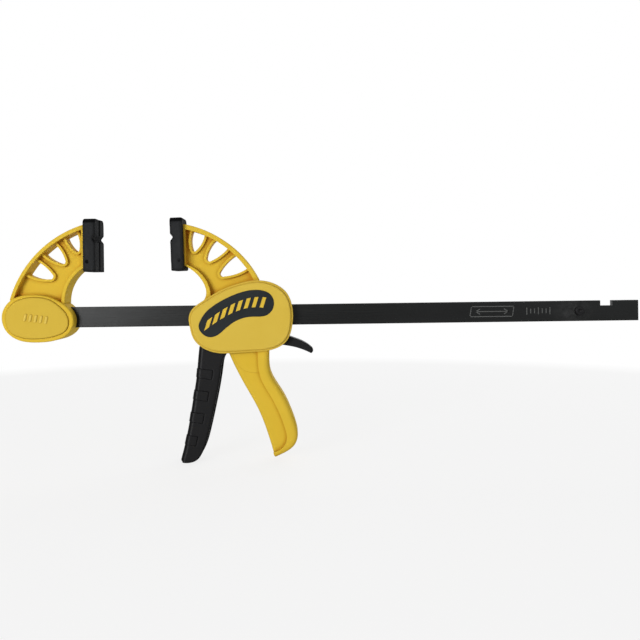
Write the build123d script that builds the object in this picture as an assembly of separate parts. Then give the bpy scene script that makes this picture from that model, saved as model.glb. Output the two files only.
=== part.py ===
from build123d import *
import math
import os

# Quick release bar clamp, in millimetres.
# +X runs along the bar from the fixed jaw to the tail, +Z is the way the jaws reach,
# +Y is the depth, with the front cover and the push button on the -Y side.
# Every outline below is drawn in X and Z from the middle of the bar's height, with
# X = 0 at the fixed pad's clamping face. The last lines lift the frame so that the
# origin is the middle of that face.

# ---- driving dimensions -------------------------------------------------------------
BAR_HEIGHT = 17.5
BAR_THICK = 5.0
BAR_FRONT = -66.5
BAR_TAIL = 461.5
NOTCH_INSET = 27.3          # from each end of the bar to the middle of its notch
NOTCH_WIDTH = 10.4
NOTCH_DEPTH = 4.4
STOP_X = 411.0
STOP_RADIUS = 3.9
STOP_REACH = 4.4            # half the length of the stop pin

PAD_HEIGHT = 45.0
PAD_DEPTH = 32.0
PAD_THICK = 10.5
PAD_MID = 61.0              # middle of the pads above the middle of the bar
OPENING = 63.2              # between the pads as drawn, at mid height
TOE_IN = 1.5                # degrees that the moving pad leans in at its top
SEAT_GAP = 0.01             # between a pad's back and its arm
VEE_ABOVE_MID = 5.7
VEE_HALF = 3.1
VEE_DEPTH = 2.4

ARM_HALF = 10.0             # half depth of the arms' flanges
WEB_HALF = 3.0
LIP_HALF = 6.0              # half depth of the raised lips round the windows
LIP_WIDTH = 2.0
FIXED_FLANGE = 3.2
MOVING_FLANGE = 4.0
THROAT_FLANGE = 2.9
FIXED_PLATE = 2.6           # thickness of the plate behind each pad
MOVING_PLATE = 1.3
FIXED_ARC = (13.9, -10.3, 92.1)     # centre and radius of each arm's outer edge
MOVING_ARC = (57.9, -8.9, 88.3)
FIXED_THROAT = (5.7, 13.1, 33.3)

BOSS_HALF = 13.0
BUTTON_PROUD = 1.6
BUTTON_TRAVEL = 3.6
KEY_WIDTH = 10.0
KEY_BOTTOM = 4.6
KEY_TOP = 10.6
KEY_HEAD = -11.3            # the key's end, seated in the button

CASE_HALF = 12.0            # half depth of the housing ring, where the covers sit
CASE_WALL = 4.0
COVER_FLANGE = 2.2
COVER_THICK = 4.5
COVER_STEP = 1.8
BAR_GAP = 0.25              # running gap between the bar and what slides on it
LABEL_SUNK = 0.7
LABEL_THICK = 0.9

TRIGGER_PIVOT = (104.0, 13.5)
TRIGGER_HALF = 11.6
TRIGGER_WALL = 2.6
TRIGGER_FRONT = 4.0
LEVER_ROUND = 4.0           # rounding along the trigger's front
GRIP_PROUD = 0.4
GRIP_GROOVE = 0.6            # width and depth of the groove round each grip block
GRIP_LEAN = 8.0             # degrees that the grip blocks fall towards the back
FORK_OUT = 11.0             # outer face of the fork that straddles the bar
FORK_IN = 3.4
HUB_RADIUS = 4.8
PIN_RADIUS = 2.0
PIN_REACH = 14.0
PIN_FIT = 0.05              # radial running clearance of a lever on its pin

PLATE_THICK = 2.0
PLATE_HALF = 9.5
PLATE_TOP = 14.0
PLATE_BOTTOM = -15.5
DRIVE_X = 109.5             # front face of the first drive plate at rest
SPRING_SEAT = 133.5         # front face of the rib that the drive spring bears on
SEAT_THICK = 3.0

BRAKE_PIVOT = (149.0, -19.5)
BRAKE_TILT = 8.0            # degrees, top towards the fixed jaw, while it grips
BRAKE_THICK = 3.0
BRAKE_FOOT = -16.9
BRAKE_WINDOW = 18.3         # height of the aperture in the brake plate
LEVER_HALF = 6.0
LEVER_HUB = 5.2
BRAKE_SPRING_END = 157.9

WEB_HANDLE = 8.3            # half depth of the handle's web
RIB_HALF = 12.0             # half depth of the handle's rear rib
RIB_ROUND = 4.4             # rounding along the handle's back
HANDLE_STEP = 0.5

SCREW_SPOTS = [(94.3, 12.3), (129.0, 23.4), (151.0, 20.8), (139.0, -23.4), (84.3, -14.2)]
SCREW_RADIUS = 1.3
SCREW_HOLE = 1.35
SCREW_HEAD = 2.4
PILLAR = 3.0

# ---- outlines in X and Z ------------------------------------------------------------
BOSS_LINE = [(-80.4, -1.1), (-78.0, 9.4), (-70.6, 16.6), (-57.6, 19.6), (-43.5, 18.6),
             (-31.0, 13.4), (-22.6, 6.2), (-19.6, -2.5), (-23.0, -12.2), (-33.6, -18.5),
             (-51.0, -20.6), (-67.0, -18.2), (-76.8, -10.8)]
BUTTON_LINE = [(-76.9, -1.0), (-74.6, 8.6), (-66.5, 15.3), (-53.1, 17.7), (-41.0, 16.1),
               (-30.3, 9.2), (-23.9, 0.0), (-24.8, -9.3), (-35.0, -15.5), (-50.0, -17.6),
               (-64.4, -16.1), (-73.6, -10.8)]
CASE_LINE = [(77.9, -6.0), (80.4, 5.6), (90.3, 13.3), (104.6, 21.5), (121.5, 27.5),
             (136.6, 29.7), (149.5, 26.8), (160.2, 18.9), (165.2, 6.0), (165.0, -8.2),
             (159.6, -22.2), (146.5, -29.3), (129.1, -30.8), (109.0, -31.7), (93.9, -29.2),
             (82.6, -20.8)]
LABEL_LINE = [(86.6, -6.4), (92.7, 3.6), (106.2, 13.1), (123.1, 20.0), (138.2, 21.4),
              (147.0, 17.6), (149.7, 8.7), (144.6, 0.8), (131.2, -0.9), (117.7, -4.3),
              (107.6, -11.6), (101.8, -16.1), (95.4, -17.6), (88.9, -14.2)]
# Each window is a pointed arch that stands on the outer flange: up one side through its
# middle, round the tip, and down the other side.
FIXED_WINDOWS = [
    [(-56.5, 50.3), (-46.0, 44.3), (-38.3, 36.0), (-38.8, 33.6), (-42.0, 32.8), (-54.0, 34.3), (-66.0, 41.5)],
    [(-39.5, 65.2), (-31.6, 57.0), (-27.8, 48.4), (-28.3, 46.1), (-31.0, 45.6), (-40.0, 49.4), (-51.0, 60.2)],
    [(-19.8, 75.5), (-15.6, 65.5), (-15.9, 56.9), (-17.2, 55.6), (-19.3, 56.2), (-24.3, 61.6), (-28.6, 74.0)],
]
MOVING_WINDOWS = [
    [(84.0, 77.5), (79.4, 64.9), (80.6, 56.2), (81.7, 54.9), (83.6, 55.5), (88.2, 60.9), (91.6, 73.5)],
    [(105.5, 67.5), (95.6, 57.9), (92.5, 49.4), (93.2, 46.9), (96.4, 46.6), (104.4, 51.2), (114.5, 62.0)],
    [(122.5, 53.5), (109.6, 44.5), (103.5, 36.3), (104.2, 33.9), (107.5, 33.3), (118.6, 35.6), (131.5, 43.0)],
]
HANDLE_FRONT = [(109.3, -28.2), (115.8, -43.4), (124.9, -61.0), (134.8, -79.2), (142.4, -98.8),
                (147.6, -116.5)]
HANDLE_REAR = [(125.0, -128.2), (140.0, -124.0), (151.6, -119.4), (159.6, -115.5), (165.8, -110.2),
               (168.4, -102.5), (166.9, -92.5), (162.9, -80.9), (157.0, -68.0), (150.0, -56.8),
               (145.6, -47.3), (144.7, -36.0), (144.9, -28.2)]
RIB_FRONT = [(135.5, -28.2), (135.5, -40.5), (137.9, -53.5), (144.9, -66.6), (152.2, -80.7),
             (157.4, -94.8), (158.6, -107.0), (155.2, -112.4), (148.6, -115.6)]
LEVER_FRONT = [(86.5, -20.4), (84.9, -33.0), (82.9, -52.3), (79.8, -70.9), (76.1, -91.9),
               (69.3, -120.4)]
LEVER_BACK = [(60.0, -117.0), (77.0, -123.9), (83.4, -121.3), (87.7, -115.3),
              (92.6, -101.2), (97.6, -80.2), (101.9, -59.8), (104.6, -43.0), (105.8, -37.0),
              (109.2, -32.0)]
# the front edge, top and bottom of each grip block, and how far back it reaches
GRIP_BLOCKS = [(83.5, -44.5, -51.7, 13.2), (80.9, -62.7, -70.2, 12.4), (77.6, -81.4, -89.0, 11.5),
               (73.7, -100.7, -108.2, 9.5)]


def slab(profile, near, far):
    """Carry a profile, drawn in X and Z, through the depth from near to far."""
    return Pos(0, far, 0) * extrude(Plane.XZ * profile, amount=far - near)


def block(x0, x1, near, far, z0, z1):
    """A square block between two values on each axis."""
    return Pos((x0 + x1) / 2, (near + far) / 2, (z0 + z1) / 2) * Box(x1 - x0, far - near, z1 - z0)


def pin(spot, radius, near, far):
    """A round bar along Y about a spot in X and Z."""
    return Pos(spot[0], (near + far) / 2, spot[1]) * Rot(90, 0, 0) * Cylinder(radius, far - near)


def disc(spot, radius):
    return Pos(spot[0], spot[1]) * Circle(radius)


def loop(points, inward=0.0):
    """A smooth closed outline through a few points, drawn in from them by a distance.

    Each point moves square to the chord between its two neighbours. The points run
    clockwise, so that the inside is on the right.
    """
    moved = []
    for index, point in enumerate(points):
        before, after = points[index - 1], points[(index + 1) % len(points)]
        chord = math.dist(before, after)
        right = ((after[1] - before[1]) / chord, (before[0] - after[0]) / chord)
        moved.append((point[0] + inward * right[0], point[1] + inward * right[1]))
    curve = Spline(*moved, periodic=True)
    return make_face([curve.trim(0, 0.5), curve.trim(0.5, 1)])


def soft_corners(points, radius):
    """A closed outline of straight runs with rounded corners."""
    return make_face(FilletPolyline(*points, radius=radius, close=True))


def coil(radius, wire, length, turns, start, direction):
    """A compression spring that starts at a point and runs along a direction."""
    rise = length - 2 * wire
    axis = Vector(*direction)
    path = Helix(pitch=rise / turns, height=rise, radius=radius,
                 center=Vector(*start) + axis * wire, direction=direction)
    section = Plane(origin=path @ 0, z_dir=path % 0) * Circle(wire)
    return sweep(section, path=path, is_frenet=True)


# ---- bar ----------------------------------------------------------------------------
def make_bar():
    """The bar, with a square notch for the latch near each end and the stop pin's hole."""
    bar = block(BAR_FRONT, BAR_TAIL, -BAR_THICK / 2, BAR_THICK / 2, -BAR_HEIGHT / 2, BAR_HEIGHT / 2)
    bar = fillet(bar.edges().filter_by(Axis.X), 0.5)
    for x in (BAR_FRONT + NOTCH_INSET, BAR_TAIL - NOTCH_INSET):
        bar -= block(x - NOTCH_WIDTH / 2, x + NOTCH_WIDTH / 2, -BAR_THICK, BAR_THICK,
                     BAR_HEIGHT / 2 - NOTCH_DEPTH, BAR_HEIGHT)
    return bar - pin((STOP_X, 0), STOP_RADIUS, -BAR_THICK, BAR_THICK)


def make_stop_pin():
    """The riveted pin, with a punched dimple in each end."""
    body = pin((STOP_X, 0), STOP_RADIUS, -STOP_REACH, STOP_REACH)
    body = chamfer(body.edges().filter_by(GeomType.CIRCLE), 0.6)
    for side in (-1, 1):
        body -= Pos(STOP_X, side * (STOP_REACH + 1.0), 0) * Sphere(1.9)
    return body


# ---- jaws ---------------------------------------------------------------------------
def arch(points):
    """A pointed arch from seven points: two bowed sides and a rounded tip between them."""
    return make_face([ThreePointArc(*points[0:3]), ThreePointArc(*points[2:5]),
                      ThreePointArc(*points[4:7]), Line(points[6], points[0])])


def ribbed_arm(outline, recess, windows):
    """An I-section arm: flanges round a thin web whose windows have raised lips."""
    arm = slab(outline, -ARM_HALF, ARM_HALF)
    curved = arm.edges().filter_by(GeomType.CIRCLE)
    arm = fillet([edge for edge in curved if abs(edge.center().Y) > ARM_HALF - 0.1], 0.8)
    for near, far in ((-ARM_HALF, -WEB_HALF), (WEB_HALF, ARM_HALF)):
        arm -= slab(recess, near, far)
    for points in windows:
        arm += slab(offset(arch(points), LIP_WIDTH) & recess, -LIP_HALF, LIP_HALF)
        arm -= slab(arch(points) & recess, -ARM_HALF, ARM_HALF)
    return arm


def make_pad():
    """A soft pad that faces +X, with its clamping face at X = 0 and centred on Z = 0."""
    half = PAD_HEIGHT / 2
    face = Pos(0, 0) * Rectangle(PAD_DEPTH, PAD_HEIGHT)
    top = face.vertices().sort_by(Axis.Y)[-2:]
    pad = Pos(-PAD_THICK, 0, 0) * extrude(Plane.YZ * fillet(top, 4.0), amount=PAD_THICK)
    pad = fillet(pad.edges().group_by(Axis.X)[0], 1.2)
    # an upright relief down the middle, and a vee across it that holds a round bar
    pad -= block(-1.2, 1, -2.2, 2.2, -half - 1, half + 1)
    vee = make_face(Polyline((1, VEE_ABOVE_MID + VEE_HALF * 1.4), (-VEE_DEPTH, VEE_ABOVE_MID),
                             (1, VEE_ABOVE_MID - VEE_HALF * 1.4), close=True))
    pad -= slab(vee, -PAD_DEPTH, PAD_DEPTH)
    for side in (-1, 1):
        pad -= Pos(-6.9, side * (PAD_DEPTH / 2 + 0.6), -13.6) * Sphere(1.4)
    # the pocket that takes the arm's tongue
    pad -= block(-PAD_THICK - 1, -PAD_THICK + 4.1, -6.1, 6.1, -14.1, 14.1)
    return pad


def fixed_outline():
    """The curved arm of the fixed jaw, from its end plate down into the boss."""
    back = -PAD_THICK
    return make_face([
        Line((back, 42.2), (back, 78.9)),
        Line((back, 78.9), (-12.0, 78.6)),
        ThreePointArc((-12.0, 78.6), (-52.3, 53.7), (-74.4, 15.6)),
        Line((-74.4, 15.6), (-60.0, 5.0)),
        Line((-60.0, 5.0), (-30.0, 5.0)),
        Line((-30.0, 5.0), (-27.6, 13.1)),
        ThreePointArc((-27.6, 13.1), (-21.0, 33.1), (back, 42.2)),
    ])


def ring_field(arc, flange, throat, near_x):
    """What an arm's flanges leave open: between two arcs and beyond the end plate."""
    field = disc(arc[:2], arc[2] - flange) - disc(throat[:2], throat[2])
    return field & Pos(near_x, 42.0) * Rectangle(110.0, 90.0)


def fixed_recess():
    x, z, radius = FIXED_THROAT
    return ring_field(FIXED_ARC, FIXED_FLANGE, (x, z, radius + THROAT_FLANGE),
                      -55.0 - PAD_THICK - FIXED_PLATE)


def make_fixed_jaw():
    """The fixed jaw: ribbed arm, oval boss, the bar's socket and the latch's bores."""
    back = -PAD_THICK
    jaw = ribbed_arm(fixed_outline(), fixed_recess(), FIXED_WINDOWS)
    boss = slab(loop(BOSS_LINE), -BOSS_HALF, BOSS_HALF)
    jaw += fillet(boss.edges().group_by(Axis.Y)[0] + boss.edges().group_by(Axis.Y)[-1], 1.4)
    jaw += block(back, back + 3.9, -6.0, 6.0, PAD_MID - 14, PAD_MID + 14)
    # the recess that the push button travels in, wider behind its rim
    floor = -4.6
    jaw -= slab(loop(BUTTON_LINE), -BOSS_HALF - 1, floor)
    jaw -= slab(loop(BUTTON_LINE, -0.8), -11.4, floor)
    # the bar's socket, open to the right
    gap = 0.1
    jaw -= block(BAR_FRONT - gap, -5.0, -BAR_THICK / 2 - gap, BAR_THICK / 2 + gap,
                 -BAR_HEIGHT / 2 - gap, BAR_HEIGHT / 2 + gap)
    # the bore of the latch key and its spring, blind at the back
    key_x = BAR_FRONT + NOTCH_INSET
    jaw -= block(key_x - KEY_WIDTH / 2 - 0.1, key_x + KEY_WIDTH / 2 + 0.1, floor - 1, 11.5,
                 KEY_BOTTOM - 0.2, KEY_TOP + 0.2)
    return jaw


def make_release_button():
    """The oval push button, with a retaining flange and a socket for the key."""
    front = -BOSS_HALF - BUTTON_PROUD
    back = -9.5
    button = slab(loop(BUTTON_LINE, 0.25), front, back)
    button = fillet(button.edges().group_by(Axis.Y)[0], 1.2)
    button += slab(loop(BUTTON_LINE, -0.5), -11.3, back)
    key_x = BAR_FRONT + NOTCH_INSET
    return button - block(key_x - KEY_WIDTH / 2, key_x + KEY_WIDTH / 2, KEY_HEAD, back + 1,
                          KEY_BOTTOM, KEY_TOP)


def make_latch_key():
    """The cross key that locks the bar, with a relief that frees it when pushed in."""
    key_x = BAR_FRONT + NOTCH_INSET
    key = block(key_x - KEY_WIDTH / 2, key_x + KEY_WIDTH / 2, KEY_HEAD, 5.0, KEY_BOTTOM, KEY_TOP)
    relief = BAR_THICK / 2 + 0.2
    return key - block(key_x - KEY_WIDTH, key_x + KEY_WIDTH, -relief - BUTTON_TRAVEL,
                       relief - BUTTON_TRAVEL, KEY_BOTTOM - 1, BAR_HEIGHT / 2 + 0.2)


def make_latch_spring():
    middle_z = (KEY_BOTTOM + KEY_TOP) / 2
    return coil(2.3, 0.35, 6.5, 4, (BAR_FRONT + NOTCH_INSET, 5.0, middle_z), (0, 1, 0))


def moving_outline():
    """The curved arm of the moving jaw, from its end plate down into the housing."""
    back = OPENING + PAD_THICK
    lean = math.tan(math.radians(TOE_IN))
    plane = OPENING + PAD_THICK / math.cos(math.radians(TOE_IN)) + SEAT_GAP
    foot = (plane + lean * (PAD_MID - 42.9), 42.9)
    head = (plane + lean * (PAD_MID - 78.2), 78.2)
    return make_face([
        Line(foot, head),
        Line(head, (back + 1.0, 78.0)),
        ThreePointArc((back + 1.0, 78.0), (109.5, 62.6), (136.9, 30.3)),
        Line((136.9, 30.3), (128.0, 18.0)),
        Line((128.0, 18.0), (98.0, 8.0)),
        Line((98.0, 8.0), (90.2, 13.3)),
        Spline((90.2, 13.3), (92.3, 20.3), (89.3, 29.4), (82.4, 37.5), foot),
    ])


def moving_recess():
    return ring_field(MOVING_ARC, MOVING_FLANGE, (66.1, 15.4, 30.0),
                      OPENING + PAD_THICK + MOVING_PLATE + 55.0)


# ---- housing ------------------------------------------------------------------------
def handle_bulk():
    """All that lies in front of the handle's rear curve, well rounded along that curve."""
    top, far = HANDLE_REAR[-1][1], 90.0
    face = make_face([Spline(*HANDLE_REAR), Line(HANDLE_REAR[-1], (far, top)),
                      Line((far, top), (far, HANDLE_REAR[0][1])),
                      Line((far, HANDLE_REAR[0][1]), HANDLE_REAR[0])])
    bulk = slab(face, -RIB_HALF, RIB_HALF)
    return fillet(bulk.edges().filter_by(GeomType.BSPLINE), RIB_ROUND)


def behind(front, tip):
    """The area behind a front line, which ends in a rounded tip under the handle."""
    low, high, far = -128.0, front[0][1], 180.0
    return make_face([Spline(*front), ThreePointArc(front[-1], *tip), Line(tip[1], (tip[1][0], low)),
                      Line((tip[1][0], low), (far, low)), Line((far, low), (far, high)),
                      Line((far, high), front[0])])


def make_handle():
    """The handle: a web with a rounded front, a rear rib and a step under the housing."""
    web = slab(behind(HANDLE_FRONT, ((148.3, -119.4), (150.8, -120.8))), -WEB_HANDLE, WEB_HANDLE)
    front = [edge for edge in web.edges().filter_by(GeomType.BSPLINE) if abs(edge.center().Y) > 1]
    web = fillet(front, 2.4)
    rib = slab(behind(RIB_FRONT, ((148.2, -118.4), (150.8, -120.8))), -RIB_HALF, RIB_HALF)
    step = make_face([
        Spline((112.9, -28.2), (116.6, -38.8), (120.8, -44.6), (128.0, -48.1), (136.5, -48.6)),
        Line((136.5, -48.6), (136.5, -28.2)),
        Line((136.5, -28.2), (112.9, -28.2)),
    ])
    web += slab(step, -WEB_HANDLE - HANDLE_STEP, WEB_HANDLE + HANDLE_STEP)
    return (web + rib) & handle_bulk()


def make_moving_jaw():
    """The moving jaw: ribbed arm, housing ring and pistol handle in one moulding."""
    case_face = loop(CASE_LINE)
    jaw = ribbed_arm(moving_outline(), moving_recess(), MOVING_WINDOWS)
    jaw += slab(case_face, -CASE_HALF, CASE_HALF)
    # the hollow that holds the mechanism, with room for both levers' hubs
    hollow = loop(CASE_LINE, CASE_WALL) + disc(TRIGGER_PIVOT, HUB_RADIUS + 0.6)
    hollow += disc(BRAKE_PIVOT, LEVER_HUB + 0.5)
    jaw -= slab(hollow, -CASE_HALF, CASE_HALF)
    # the rib that the drive spring bears on, and the pillars of the cover screws
    inside = slab(case_face, -CASE_HALF, CASE_HALF)
    jaw += inside & block(SPRING_SEAT, SPRING_SEAT + SEAT_THICK, -CASE_HALF, CASE_HALF, -40, 40)
    for spot in SCREW_SPOTS:
        jaw += inside & slab(disc(spot, PILLAR), -CASE_HALF, CASE_HALF)
    # the mouth below, where the trigger hangs out
    jaw -= block(76.0, SPRING_SEAT, -CASE_HALF, CASE_HALF, -40.0, -19.6)
    jaw += make_handle()
    # the way out for the release lever
    way = make_face(Polyline((149.6, -20.0), (149.6, -34.0), (172.0, -34.0), (172.0, -15.6),
                             (158.0, -15.6), close=True))
    jaw -= slab(way, -LEVER_HALF - 0.4, LEVER_HALF + 0.4)
    # the bar runs through both end walls and the rib
    jaw -= block(70.0, 175.0, -BAR_THICK / 2 - BAR_GAP, BAR_THICK / 2 + BAR_GAP,
                 -BAR_HEIGHT / 2 - BAR_GAP, BAR_HEIGHT / 2 + BAR_GAP)
    for spot in SCREW_SPOTS:
        jaw -= pin(spot, SCREW_HOLE, -CASE_HALF - 1, CASE_HALF + 1)
    back = OPENING + PAD_THICK
    tongue = block(back - 3.9, back + 1.0, -6.0, 6.0, PAD_MID - 14, PAD_MID + 14)
    return jaw + toe_in(tongue)


def toe_in(solid):
    """Lean a solid in towards the fixed jaw, about the middle of the moving pad."""
    pivot = Pos(OPENING, 0, PAD_MID)
    return pivot * Rot(0, -TOE_IN, 0) * pivot.inverse() * solid


def make_cover(side):
    """An oval cover: a flange on the housing ring and a raised, rounded face."""
    inner, flange, outer = CASE_HALF, CASE_HALF + COVER_FLANGE, CASE_HALF + COVER_THICK
    rim = slab(loop(CASE_LINE), -flange, -inner)
    rim = fillet(rim.edges().group_by(Axis.Y)[0], 0.9)
    raised = slab(loop(CASE_LINE, COVER_STEP), -outer, -inner)
    raised = fillet(raised.edges().group_by(Axis.Y)[0], 1.3)
    cover = rim + raised
    for spot in (TRIGGER_PIVOT, BRAKE_PIVOT):
        cover -= pin(spot, PIN_RADIUS, -PIN_REACH - 0.2, -inner)
    if side > 0:
        cover = mirror(cover, about=Plane.XZ)
        for spot in SCREW_SPOTS:
            cover -= pin(spot, SCREW_HOLE, inner, outer)
            cover -= pin(spot, SCREW_HEAD + 0.1, outer - 1.7, outer + 1)
        return cover
    for spot in SCREW_SPOTS:
        cover -= pin(spot, SCREW_HOLE, -inner - 2.5, -inner)
    return cover - slab(loop(LABEL_LINE), -outer - 1, -outer + LABEL_SUNK)


def make_label_plate():
    outer = CASE_HALF + COVER_THICK
    plate = slab(loop(LABEL_LINE, 0.05), -outer + LABEL_SUNK - LABEL_THICK,
                 -outer + LABEL_SUNK)
    return fillet(plate.edges().group_by(Axis.Y)[0], 0.15)


def make_cover_screws():
    """Five self-tapping screws, put in from the back, with cross recesses."""
    outer = CASE_HALF + COVER_THICK
    screws = []
    for spot in SCREW_SPOTS:
        screw = pin(spot, SCREW_RADIUS, -CASE_HALF - 2.4, outer - 1)
        screw += pin(spot, SCREW_HEAD, outer - 1.7, outer - 0.1)
        for turn in (45, 135):
            slot = Pos(spot[0], outer, spot[1]) * Rot(0, turn, 0) * Box(2.8, 1.6, 0.7)
            screw -= slot
        screws.append(screw)
    return Compound(children=screws)


# ---- trigger ------------------------------------------------------------------------
def lever_front(toe):
    """The area behind the trigger's front line, which ends in a toe given by edges."""
    top, low, far = LEVER_FRONT[0][1], -135.0, 140.0
    end = toe[-1] @ 1
    return make_face([Spline(*LEVER_FRONT), *toe, Line(end, (end.X + 5.0, low)),
                      Line((end.X + 5.0, low), (far, low)), Line((far, low), (far, top)),
                      Line((far, top), LEVER_FRONT[0])])


# the front edge runs on past the toe while its long edges are rounded, then the toe is cut
STRAIGHT_TOE = [Line(LEVER_FRONT[-1], (67.1, -131.4))]
ROUND_TOE = [ThreePointArc(LEVER_FRONT[-1], (69.3, -121.7), (70.2, -122.7))]


def lever_back():
    """The area in front of the trigger's back line."""
    top, far = LEVER_FRONT[0][1], 50.0
    return make_face([Spline(*LEVER_BACK), Line(LEVER_BACK[-1], (109.2, top)),
                      Line((109.2, top), (far, top)), Line((far, top), (far, LEVER_BACK[0][1])),
                      Line((far, LEVER_BACK[0][1]), LEVER_BACK[0])])


def lever_body(half, proud=0.0):
    """The trigger's solid block, well rounded along its front."""
    front = slab(lever_front(STRAIGHT_TOE), -half, half)
    curved = front.edges().filter_by(GeomType.BSPLINE)
    front = fillet([edge for edge in curved if abs(edge.center().Y) > half - 0.1], LEVER_ROUND)
    front = front & slab(lever_front(ROUND_TOE), -half, half)
    return Pos(-proud, 0, 0) * front & slab(lever_back(), -half, half)


def fork_outline():
    """The fork's side: up from the trigger, past the nose that drives the plates."""
    x, z = TRIGGER_PIVOT
    return make_face(Polyline((86.9, -27.0), (87.2, -20.4), (x - HUB_RADIUS, z - 1.0),
                              (x + HUB_RADIUS - 0.3, z), (x + 3.6, -3.0), (DRIVE_X - 0.3, -10.6),
                              (DRIVE_X - 0.3, -12.0), (106.2, -18.0), (107.3, -27.0), close=True))


def grip_band(front, grow, x, top, bottom, reach):
    """The space of one grip block, grown a little; it falls towards the back with the lean."""
    fall = math.tan(math.radians(GRIP_LEAN))
    corners = [(60, top + grow), (120, top + grow), (120, bottom - grow), (60, bottom - grow)]
    band = make_face(Polyline(*[(side, level - fall * (side - x)) for side, level in corners], close=True))
    return slab(band - Pos(reach + grow, 0) * front, -20, 20)


def make_trigger():
    """The squeeze trigger: a channel, open behind, under a fork that straddles the bar."""
    trigger = lever_body(TRIGGER_HALF)
    # the channel takes the handle's web when the trigger is squeezed
    front = lever_front(ROUND_TOE)
    hollow = Pos(TRIGGER_FRONT, 5.0) * front & Pos(TRIGGER_FRONT + 12, 5.0) * lever_back()
    wide = TRIGGER_HALF - TRIGGER_WALL
    low = block(60, 130, -wide, wide, -130, -26)
    trigger -= slab(hollow, -wide, wide) & low
    # above the channel only the fork is left
    trigger -= block(60, 130, -20, 20, -26.0, 20)
    fork = slab(fork_outline(), -FORK_OUT, FORK_OUT) + pin(TRIGGER_PIVOT, HUB_RADIUS, -FORK_OUT, FORK_OUT)
    fork -= block(60, 130, -FORK_IN, FORK_IN, -26.0, 30)
    fork -= block(60, 130, -wide, wide, -40, -26.0)
    trigger += fork
    # four raised grip blocks, each in a groove, wrap round the front
    shell = lever_body(TRIGGER_HALF + GRIP_PROUD, GRIP_PROUD)
    skin = lever_body(TRIGGER_HALF) - lever_body(TRIGGER_HALF - GRIP_GROOVE, -GRIP_GROOVE)
    for block_sizes in GRIP_BLOCKS:
        trigger -= skin & grip_band(front, GRIP_GROOVE, *block_sizes)
    for block_sizes in GRIP_BLOCKS:
        trigger += (shell & grip_band(front, 0.0, *block_sizes)) - (slab(hollow, -wide, wide) & low)
    return trigger - pin(TRIGGER_PIVOT, PIN_RADIUS + PIN_FIT, -20, 20)


# ---- drive and brake ----------------------------------------------------------------
def steel_plate(near_x, thick, bottom, top, window, middle_z):
    """A hardened plate with an aperture for the bar."""
    face = Pos(0, (bottom + top) / 2) * RectangleRounded(2 * PLATE_HALF, top - bottom, 1.6)
    face -= Pos(0, middle_z) * Rectangle(BAR_THICK + 0.6, window)
    return Pos(near_x, 0, 0) * extrude(Plane.YZ * face, amount=thick)


def make_drive_plate(order):
    return steel_plate(DRIVE_X + order * PLATE_THICK, PLATE_THICK, PLATE_BOTTOM, PLATE_TOP,
                       BAR_HEIGHT + 0.5, 0)


def make_drive_spring():
    start = DRIVE_X + 2 * PLATE_THICK
    return coil(10.2, 0.65, SPRING_SEAT - start, 4.5, (start, 0, 0), (1, 0, 0))


def tilted(solid):
    """Turn a solid about the brake's pivot from square to its gripping tilt."""
    pivot = Pos(BRAKE_PIVOT[0], 0, BRAKE_PIVOT[1])
    return pivot * Rot(0, -BRAKE_TILT, 0) * pivot.inverse() * solid


def make_brake_plate():
    lifted = BRAKE_PIVOT[1] - BRAKE_PIVOT[1] / math.cos(math.radians(BRAKE_TILT))
    plate = steel_plate(BRAKE_PIVOT[0] - BRAKE_THICK / 2, BRAKE_THICK, BRAKE_FOOT, PLATE_TOP,
                        BRAKE_WINDOW, lifted)
    return tilted(plate)


def make_release_lever():
    """The release lever: a thumb tail, a hub on its pin and a socket for the brake plate."""
    x, z = BRAKE_PIVOT
    tail = make_face([
        Spline((150.0, -14.4), (158.0, -16.9), (166.4, -19.8), (172.9, -22.4), (181.0, -27.8)),
        ThreePointArc((181.0, -27.8), (182.4, -30.6), (180.6, -33.0)),
        Spline((180.6, -33.0), (176.9, -31.2), (168.7, -28.1), (160.0, -26.2), (150.0, -24.6)),
        Line((150.0, -24.6), (150.0, -14.4)),
    ])
    lever = slab(tail, -LEVER_HALF, LEVER_HALF) + pin(BRAKE_PIVOT, LEVER_HUB, -LEVER_HALF, LEVER_HALF)
    wall = BRAKE_THICK / 2 + 1.9
    socket = block(x - wall, x + wall, -LEVER_HALF, LEVER_HALF, z, -11.4)
    socket -= block(x - BRAKE_THICK / 2, x + BRAKE_THICK / 2, -20, 20, BRAKE_FOOT, 0)
    foot = block(x - BRAKE_THICK / 2, x + BRAKE_THICK / 2, -20, 20, BRAKE_FOOT, 0)
    lever = lever + tilted(socket) - tilted(foot)
    return lever - pin(BRAKE_PIVOT, PIN_RADIUS + PIN_FIT, -20, 20)


def make_brake_spring():
    """A small spring above the bar, from the brake plate to the housing's end wall."""
    height = 12.6
    reach = math.tan(math.radians(BRAKE_TILT)) * (height - BRAKE_PIVOT[1])
    start = BRAKE_PIVOT[0] - reach + BRAKE_THICK / 2 + 0.5
    return coil(2.6, 0.4, BRAKE_SPRING_END - start, 6, (start, 0, height), (1, 0, 0))


def make_pivot_pin(spot):
    body = pin(spot, PIN_RADIUS, -PIN_REACH, PIN_REACH)
    return chamfer(body.edges().filter_by(GeomType.CIRCLE), 0.3)


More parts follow.
